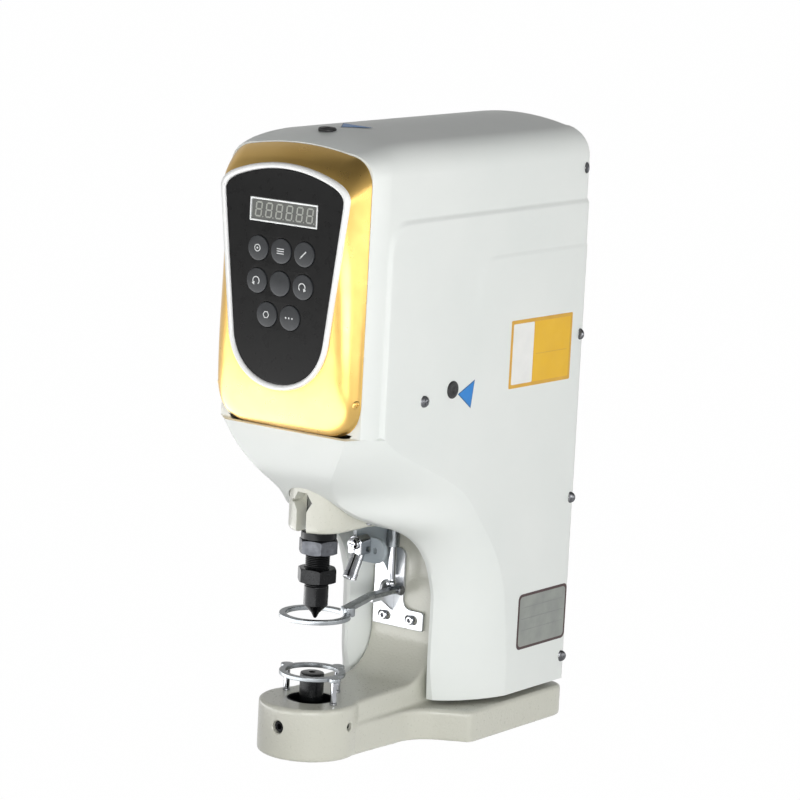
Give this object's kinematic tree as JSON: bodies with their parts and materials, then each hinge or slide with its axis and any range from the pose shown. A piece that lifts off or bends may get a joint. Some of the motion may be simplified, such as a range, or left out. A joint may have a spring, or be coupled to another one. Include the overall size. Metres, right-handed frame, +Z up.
{
  "type": "electric button press",
  "caption": "Bench press that closes snaps and buttons: a servo-driven ram in a C-frame casting under a moulded cover, with a keypad head, a drop-down finger guard and a swinging work lamp.",
  "frame": {"origin": "on the base's underside, straight below the axis of the ram and the lower die", "axes": "+Z up along the ram, front of the machine towards -Y, +X to the right of a person who faces the machine's front"},
  "size_m": [0.17, 0.3487, 0.5265],
  "materials": {
    "casting_paint": "pale grey-beige hammered paint on cast iron",
    "shell_plastic": "off-white moulded cover, semi-gloss",
    "gold_paint": "satin gold",
    "panel_plastic": "black, fine grain",
    "key_plastic": "dark grey, satin",
    "display_window": "smoked clear window over grey digits",
    "chrome_steel": "bright plating",
    "black_steel": "black oxide, oiled",
    "grey_steel": "ground steel",
    "grey_paint": "blue-grey paint",
    "drive_aluminium": "extruded, plain",
    "bush_bronze": "turned bearing bronze",
    "black_rubber": "matt black",
    "circuit_laminate": "green lacquered laminate",
    "motor_paint": "satin black enamel"
  },
  "bodies": {
    "frame": {"frame_casting": "casting_paint", "body_shell": "shell_plastic", "rear_panel": "shell_plastic", "bezel_lip": "shell_plastic", "front_bezel": "gold_paint", "keypad_panel": "panel_plastic", "power_switch": "panel_plastic", "display_module": "display_window", "lower_guard_ring": "chrome_steel", "guard_post_left": "chrome_steel", "guard_post_right": "chrome_steel", "guard_post_rear": "chrome_steel", "guard_bracket": "chrome_steel", "lift_rod_bush": "chrome_steel", "lamp_screw": "chrome_steel", "lower_die": "black_steel", "front_set_screw": "black_steel", "side_set_screw": "black_steel", "thrust_bridge": "grey_steel", "screw_bearing": "grey_steel", "bracket_screw_1": "grey_steel", "bracket_screw_2": "grey_steel", "pivot_pin": "grey_steel", "cover_screw_1": "grey_steel", "cover_screw_2": "grey_steel", "cover_screw_3": "grey_steel", "cover_screw_4": "grey_steel", "cover_screw_5": "grey_steel", "lamp_bracket": "grey_paint", "servo_drive": "drive_aluminium", "ram_bush": "bush_bronze", "cable_gland": "black_rubber", "side_oil_plug": "black_rubber", "top_oil_plug": "black_rubber", "control_board": "circuit_laminate", "servo_motor": "motor_paint", "guard_solenoid": "motor_paint"},
    "ram": {"ram": "chrome_steel", "ball_nut": "grey_steel", "die_collar": "black_steel", "lower_lock_nut": "black_steel", "upper_lock_nut": "black_steel", "upper_die": "black_steel"},
    "screw": {"drive_screw": "grey_steel"},
    "guard": {"guard_arm": "chrome_steel"},
    "lifter": {"lift_rod": "chrome_steel"},
    "lamp": {"lamp_clamp": "chrome_steel", "lamp_tube": "chrome_steel"},
    "rocker": {"switch_rocker": "black_rubber"},
    "key_1_cap": {"key_1": "key_plastic"},
    "key_2_cap": {"key_2": "key_plastic"},
    "key_3_cap": {"key_3": "key_plastic"},
    "key_4_cap": {"key_4": "key_plastic"},
    "key_5_cap": {"key_5": "key_plastic"},
    "key_6_cap": {"key_6": "key_plastic"},
    "key_7_cap": {"key_7": "key_plastic"},
    "key_8_cap": {"key_8": "key_plastic"}
  },
  "joints": [
    {"name": "ram_slide", "type": "slide", "parent": "frame", "child": "ram", "axis": [0, 0, 1], "range_m": [-0.04, 0]},
    {"name": "screw_turn", "type": "hinge", "parent": "frame", "child": "screw", "pos_m": [0, 0, 0.35], "axis": [0, 0, 1], "range_deg": [-721, 1]},
    {"name": "guard_drop", "type": "hinge", "parent": "frame", "child": "guard", "pos_m": [0, 0.1145, 0.12], "axis": [1, 0, 0], "range_deg": [0, 17]},
    {"name": "lifter_slide", "type": "slide", "parent": "frame", "child": "lifter", "axis": [0, 0, 1], "range_m": [-0.0024, 0.0001]},
    {"name": "lamp_swing", "type": "hinge", "parent": "frame", "child": "lamp", "pos_m": [0.003, 0.054, 0.171], "axis": [0, 1, 0], "range_deg": [-15, 15]},
    {"name": "rocker_tip", "type": "hinge", "parent": "frame", "child": "rocker", "pos_m": [-0.04, 0.2598, 0.15], "axis": [1, 0, 0], "range_deg": [-11.3, 0]},
    {"name": "key_1_press", "type": "slide", "parent": "frame", "child": "key_1_cap", "axis": [0, 1, 0], "range_m": [0, 0.0012], "stiffness_N_per_m": 400},
    {"name": "key_2_press", "type": "slide", "parent": "frame", "child": "key_2_cap", "axis": [0, 1, 0], "range_m": [0, 0.0012], "stiffness_N_per_m": 400},
    {"name": "key_3_press", "type": "slide", "parent": "frame", "child": "key_3_cap", "axis": [0, 1, 0], "range_m": [0, 0.0012], "stiffness_N_per_m": 400},
    {"name": "key_4_press", "type": "slide", "parent": "frame", "child": "key_4_cap", "axis": [0, 1, 0], "range_m": [0, 0.0012], "stiffness_N_per_m": 400},
    {"name": "key_5_press", "type": "slide", "parent": "frame", "child": "key_5_cap", "axis": [0, 1, 0], "range_m": [0, 0.0012], "stiffness_N_per_m": 400},
    {"name": "key_6_press", "type": "slide", "parent": "frame", "child": "key_6_cap", "axis": [0, 1, 0], "range_m": [0, 0.0012], "stiffness_N_per_m": 400},
    {"name": "key_7_press", "type": "slide", "parent": "frame", "child": "key_7_cap", "axis": [0, 1, 0], "range_m": [0, 0.0012], "stiffness_N_per_m": 400},
    {"name": "key_8_press", "type": "slide", "parent": "frame", "child": "key_8_cap", "axis": [0, 1, 0], "range_m": [0, 0.0012], "stiffness_N_per_m": 400}
  ],
  "couplings": [
    {"joint": "screw_turn", "follows": "ram_slide", "rad_per_m": 314.16},
    {"joint": "lifter_slide", "follows": "guard_drop", "m_per_rad": -0.0075}
  ]
}
